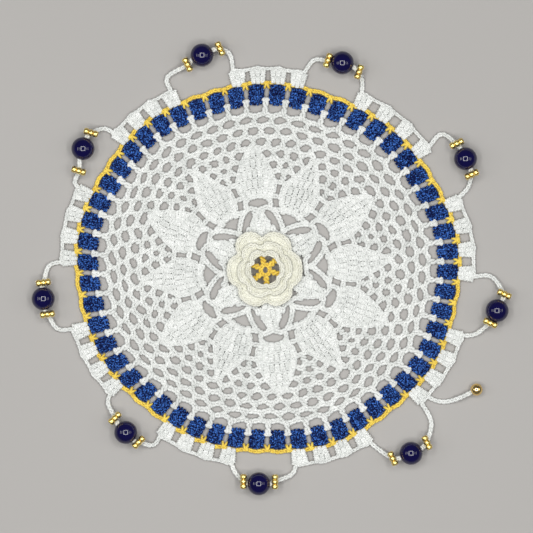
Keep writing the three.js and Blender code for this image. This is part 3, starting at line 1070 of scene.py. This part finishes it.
def edging_angle(group, index):
    """The angle of one of a group's four blocks, on the even chart."""
    middle, pitch = EDGING_GROUPS[group % GROUPS]
    return even_angle(middle + (index - (IN_GROUP - 1) / 2) * pitch)


def bore_direction(right_seeds, left_seeds):
    """The level direction of a bead's bore, along the line between its seed beads."""
    return (polar(*left_seeds) - polar(*right_seeds)).normalized()


def loop_side(root, bend, seeds):
    """One side of a loop, from the edging up to its seed beads."""
    return [
        placed(CORD["root"], root, CORD_HEIGHTS["root"]),
        polar(*bend, CORD_HEIGHTS["bend"]),
        polar(*seeds, CORD_HEIGHTS["seeds"]),
    ]


edging_stitches = []
edging_chain = []
for group in range(GROUPS):
    rail = []
    for index in range(IN_GROUP):
        middle = edging_angle(group, index)
        edging_stitches += block_spots(middle, EDGING, EDGING_WIDTHS, EDGING_HEIGHT)
        for off, lift in RAIL_BENDS:
            angle = middle + across(off, RAIL["shoulder"])
            rail.append(placed(RAIL["radius"] + lift, angle, RAIL["height"]))
    edging_chain += chain_spots(rail, width=RAIL["width"])

for i, (bead, right_seeds, left_seeds, right_bend, left_bend) in enumerate(LOOPS):
    half_bore = bore_direction(right_seeds, left_seeds) * BEAD_RADIUS
    middle = polar(*bead, BEAD_RADIUS)
    start = edging_angle(i, IN_GROUP - 1) + CORD["inset"]
    end = edging_angle(i + 1, 0) - CORD["inset"]
    right = loop_side(start, right_bend, right_seeds) + [middle - half_bore]
    left = [middle + half_bore] + loop_side(end, left_bend, left_seeds)[::-1]
    for path in (right, [right[-1], middle, left[0]], left):
        edging_chain += chain_spots(path, width=CORD["width"])
tail = [polar(*place, CORD_HEIGHTS["tail"]) for place in TAIL]
for end in tail[-2:]:
    end.z = BALL_RADIUS
edging_chain += chain_spots(tail, width=CORD["width"])
edging = joined(
    "white_edging_stitches",
    set_stitches(treble, edging_stitches, WHITE, seed=10),
    set_stitches(chain_stitch, edging_chain, WHITE, seed=11),
)

# %% [markdown]
# The navy glass is so dark that only its gloss shows. Seed beads and the ball are gold
# metal. All are clouded a little.

# %% Glass and gold
CLOUD_SCALE = 260.0
CLOUD_TINTS = (0.7, 1.3)
CLOUD_ROUGHNESS = 0.06


def glossy(name, color, metallic, roughness):
    """A glossy finish that is faintly clouded."""
    material, board = new_material(name)
    cloud = noise(board, Scale=CLOUD_SCALE)
    dark, light = ([c * share for c in color] for share in CLOUD_TINTS)
    tint = blend(board, cloud, dark, light)
    rough = cloud * CLOUD_ROUGHNESS + roughness
    surface(board, Base_Color=tint, Metallic=metallic, Roughness=rough)
    return material


NAVY = glossy("navy_glass", (0.002, 0.001, 0.045), metallic=0.0, roughness=0.04)
GOLD = glossy("gold", (1.0, 0.76, 0.26), metallic=1.0, roughness=0.28)
POLISHED = glossy("polished_gold", (0.95, 0.68, 0.28), metallic=1.0, roughness=0.03)


print("Three glossy finishes:", NAVY.name, GOLD.name, POLISHED.name)

# %% [markdown]
# The beads are turned shapes: a profile with a bore, spun round its axis. Each seed
# bead lies across the cord in a row of three.

# %% Beads and the ball
SEED_LEVEL = 6.35
SEED_STEP = 2.1


def turned(name, radius, bore, sides, rings, stretch=1.0, fullness=1.0):
    """A bored ball about the Y axis, in millimetres. A low fullness squares it."""
    shape = bmesh.new()
    edge = asin(bore / radius)
    loops = []
    for i in range(rings + 1):
        angle = edge + (pi - 2 * edge) * i / rings
        ring = []
        for k in range(sides):
            turn = CIRCLE * k / sides
            out = max(bore, radius * sin(angle) ** fullness)
            y = -radius * cos(angle) * stretch
            spot = (out * cos(turn), y, out * sin(turn))
            ring.append(shape.verts.new(spot))
        loops.append(ring)
    skin(shape, loops)
    skin(shape, [loops[-1], loops[0]], smooth=False)
    return finished(name, shape)


def set_turned(name, single, places, material):
    """Copies of a turned mesh, each at a place and along a level direction."""
    whole = bmesh.new()
    for place, direction in places:
        first = len(whole.verts)
        whole.from_mesh(single)
        whole.verts.ensure_lookup_table()
        aside = Vector((direction.y, -direction.x, 0))
        for vert in whole.verts[first:]:
            x, y, z = vert.co
            spot = place + chart_middle + aside * x + direction * y
            vert.co = (spot + Vector((0, 0, z))) * MM
    piece = shown(name, finished(name, whole, outwards=False))
    piece.data.materials.append(material)
    return piece


bead_mesh = turned("bead", radius=BEAD_RADIUS, bore=1.1, sides=56, rings=36)
seed_mesh = turned(
    "seed", radius=1.5, bore=0.45, sides=14, rings=8, stretch=0.8, fullness=0.45
)
ball_mesh = turned("ball", radius=BALL_RADIUS, bore=1.0, sides=32, rings=20)
navy_beads = []
gold_rows = []
for i, (bead_place, right_seeds, left_seeds, _, _) in enumerate(LOOPS):
    bore = bore_direction(right_seeds, left_seeds)
    crosswise = Vector((-bore.y, bore.x, 0))
    place = polar(*bead_place, BEAD_RADIUS)
    bead = set_turned(f"glass_bead_{i + 1}", bead_mesh, [(place, bore)], NAVY)
    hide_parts(f"navy_bead_{i + 1}")
    navy_beads.append(bead)
    for side, spot in (("right", right_seeds), ("left", left_seeds)):
        middle = polar(*spot, SEED_LEVEL)
        offsets = [crosswise * (step * SEED_STEP) for step in (-1, 0, 1)]
        row = [(middle + offset, crosswise) for offset in offsets]
        seeds = set_turned(f"seed_beads_{i + 1}_{side}", seed_mesh, row, GOLD)
        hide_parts(f"gold_seeds_{i + 1}_{side}")
        gold_rows.append(seeds)
tail_way = (tail[-1] - tail[-2]).normalized()
ball = set_turned("tail_ball", ball_mesh, [(tail[-1], tail_way)], POLISHED)
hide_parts("gold_ball")
print(len(navy_beads), "navy beads,", len(gold_rows), "rows of seed beads and a ball")

# %% [markdown]
# The rose has three tiers of six petals round a yellow centre. The rim dips sharply
# where two petals meet, and each tier stands above the one outside it. Notches are the
# angles where petals meet, and reaches say how much longer or shorter each petal is.

# %% The shape of the rose
NOTCHES = [36, 96, 150, 213, 272, 327, 396]
REACHES = [1.01, 1.08, 0.98, 0.98, 0.98, 0.95]
TIERS = [
    dict(node="rose_outer_petals", inner=7.2, outer=17.8, base=2.5, rise=0.6, turn=0),
    dict(node="rose_middle_petals", inner=7.0, outer=13.1, base=4.0, rise=0.6, turn=6),
    dict(node="rose_inner_petals", inner=6.5, outer=9.4, base=5.4, rise=0.4, turn=0),
]
NOTCH = 0.21
NOTCH_SHARPNESS = 1.6
NOTCH_SWELL = 0.3
SWELL_START = 0.1
SHEET = 0.8
RIM_WIDTH = 2.3
GROOVE = 0.35
LEAST_CLOTH = 0.1
rose_middle = placed(0, 0)


def petal_at(degrees, tier):
    """The number of the petal at an angle, and where it is between its two notches."""
    place = (degrees - tier["turn"] - NOTCHES[0]) % TURN + NOTCHES[0]
    number = max(i for i in range(PETALS) if NOTCHES[i] <= place)
    low, high = NOTCHES[number : number + 2]
    return number, (place - low) / (high - low)


def lobe(degrees, tier):
    """1 at the middle of a petal and 0 where two petals meet."""
    return sin(pi * petal_at(degrees, tier)[1])


def rim_radius(degrees, tier):
    """How far a tier reaches at an angle, in millimetres."""
    high = lobe(degrees, tier)
    longer = (REACHES[petal_at(degrees, tier)[0]] - 1) * high
    return tier["outer"] * (1 + longer - NOTCH * (1 - high) ** NOTCH_SHARPNESS)


def cloth_share(degrees, tier):
    """Where the trebles end and the groove inside the rim chain begins, as a share."""
    width = rim_radius(degrees, tier) - tier["inner"]
    return max(1 - (RIM_WIDTH + GROOVE) / width, LEAST_CLOTH)


def petal_height(share, degrees, tier):
    """How high the sheet stands, from its inner edge (0) to its rim (1)."""
    wave = sin(pi * (share * (1 - 2 * SWELL_START) + SWELL_START))
    swell = wave * (NOTCH_SWELL + (1 - NOTCH_SWELL) * lobe(degrees, tier))
    return tier["base"] + SHEET + tier["rise"] * swell


def petal_place(share, degrees, tier, lift):
    """A place on a tier: a share of the way from its inner edge to its rim."""
    radius = tier["inner"] + share * (rim_radius(degrees, tier) - tier["inner"])
    height = petal_height(share, degrees, tier) + lift
    return rose_middle + polar(degrees, radius, height)


print("The rose has", len(TIERS), "tiers")

# %% [markdown]
# A tier is a ruffled sheet with rounds of trebles sunk into it and a thick chain along
# its rim.

# %% The stitches of the rose
SHEET_END = 0.97
AROUND = 180
OUTWARD = 8
RIM_LINK = 2.1
RIM_LIFT = 0.6
RIM_STEPS = 72
RIB_WIDTH = 2.3
RIB_LENGTH = 4.2
RIB_DEPTH = 0.3


def petal_sheet(tier):
    """The closed sheet under a tier's stitches."""
    shape = bmesh.new()
    shares = [i / OUTWARD * SHEET_END for i in range(OUTWARD + 1)]
    top = [(share, 0) for share in shares]
    bottom = [(share, -SHEET) for share in reversed(shares)]
    rings = []
    for share, lift in top + bottom:
        ring = []
        for k in range(AROUND):
            spot = petal_place(share, TURN * k / AROUND, tier, lift) + chart_middle
            ring.append(shape.verts.new(spot * MM))
        rings.append(ring)
    skin(shape, rings + rings[:1])
    mesh = finished("petal_sheet", shape)
    mesh.materials.append(CREAM)
    return mesh


def round_spots(tier):
    """The trebles of a tier, in rounds that follow its shape."""
    reach = tier["outer"] - tier["inner"]
    rows = max(1, round((reach - RIM_WIDTH) / RIB_LENGTH))
    spots = []
    for row in range(rows):
        middle = tier["inner"] + (row + 0.5) / rows * reach
        count = round(2 * pi * middle / RIB_WIDTH)
        for k in range(count):
            degrees = TURN * (k + row / 2) / count
            cloth = cloth_share(degrees, tier)
            foot = petal_place(cloth * row / rows, degrees, tier, -RIB_DEPTH)
            head = petal_place(cloth * (row + 1) / rows, degrees, tier, -RIB_DEPTH)
            spots.append((foot, head, RIB_WIDTH * CROWDED))
    return spots


def rim_spots(tier):
    """The thick chain along a tier's rim."""
    rim = []
    for k in range(RIM_STEPS):
        degrees = TURN * k / RIM_STEPS
        inward = polar(degrees, -RIM_WIDTH / 2)
        rim.append(petal_place(1, degrees, tier, RIM_LIFT) + inward)
    return chain_spots(rim, width=RIM_WIDTH, length=RIM_LINK, closed=True)


rose_pieces = []
for i, tier in enumerate(TIERS):
    cloth = set_stitches(treble, round_spots(tier), CREAM, seed=20 + i)
    rim = set_stitches(chain_stitch, rim_spots(tier), CREAM, seed=30 + i)
    name = tier["node"].replace("rose", "cream")
    piece = joined(name, petal_sheet(tier), cloth, rim)
    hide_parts(tier["node"])
    rose_pieces.append(piece)

# %% [markdown]
# The yellow centre is a chain closed into a ring, a little longer than wide, with six
# stitches that reach out to the petals.

# %% The yellow centre
RING = {"across": 2.1, "along": 2.5, "height": 2.8}
RING_STEPS = 12
RING_CHAIN = {"width": 2.6, "length": 1.7}
SPOKES = [103, 43.5, -17, -84, -140, 158]
SPOKE_FOOT = (2.6, 2.8)
SPOKE_HEAD = (7.1, 4.0)
SPOKE_WIDTH = 3.4
ring_points = []
for k in range(RING_STEPS):
    angle = TURN * k / RING_STEPS * RADIANS
    x, y = RING["across"] * cos(angle), RING["along"] * sin(angle)
    ring_points.append(rose_middle + Vector((x, y, RING["height"])))
centre_ring = chain_spots(ring_points, **RING_CHAIN, closed=True)
spokes = []
for angle in SPOKES:
    foot, head = (rose_middle + polar(angle, *end) for end in (SPOKE_FOOT, SPOKE_HEAD))
    spokes.append((foot, head, SPOKE_WIDTH))
centre = joined(
    "yellow_centre",
    set_stitches(chain_stitch, centre_ring, YELLOW, seed=13),
    set_stitches(post_stitch, spokes, YELLOW, seed=15),
)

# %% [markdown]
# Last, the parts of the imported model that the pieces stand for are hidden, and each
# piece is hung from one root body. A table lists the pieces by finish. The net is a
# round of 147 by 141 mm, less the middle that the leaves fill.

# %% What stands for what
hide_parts("lace_ground")
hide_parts("blue_round")
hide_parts("yellow_round")
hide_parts("white_edging")
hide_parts("rose_centre")
slots = {
    "white_cotton": [net, posts, leaves, petals, edging],
    "cream_cotton": rose_pieces,
    "yellow_cotton": [yellow, centre],
    "blue_cotton": [blue],
    "navy_glass": navy_beads,
    "gold_bead": gold_rows,
    "gold_metal": [ball],
}
for slot, pieces in slots.items():
    for piece in pieces:
        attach(piece, "root")
    print(slot, "is on", len(pieces), "pieces")

# %% [markdown]
# The table is stood for by a plain, pale, matt floor with the faintest of clouds in it.

# %% The pale floor
FLOOR_CLOUD = {"Scale": 3.0, "Detail": 3.0}
FLOOR_DARK = (0.40, 0.385, 0.365)
FLOOR_LIGHT = (0.44, 0.425, 0.405)
FLOOR_ROUGHNESS = 0.7
material, board = new_material("pale_floor")
tint = blend(board, noise(board, **FLOOR_CLOUD), FLOOR_DARK, FLOOR_LIGHT)
surface(board, Base_Color=tint, Roughness=FLOOR_ROUGHNESS)
floor.data.materials.append(material)
print("Floor", FLOOR_SIDE, "m square")
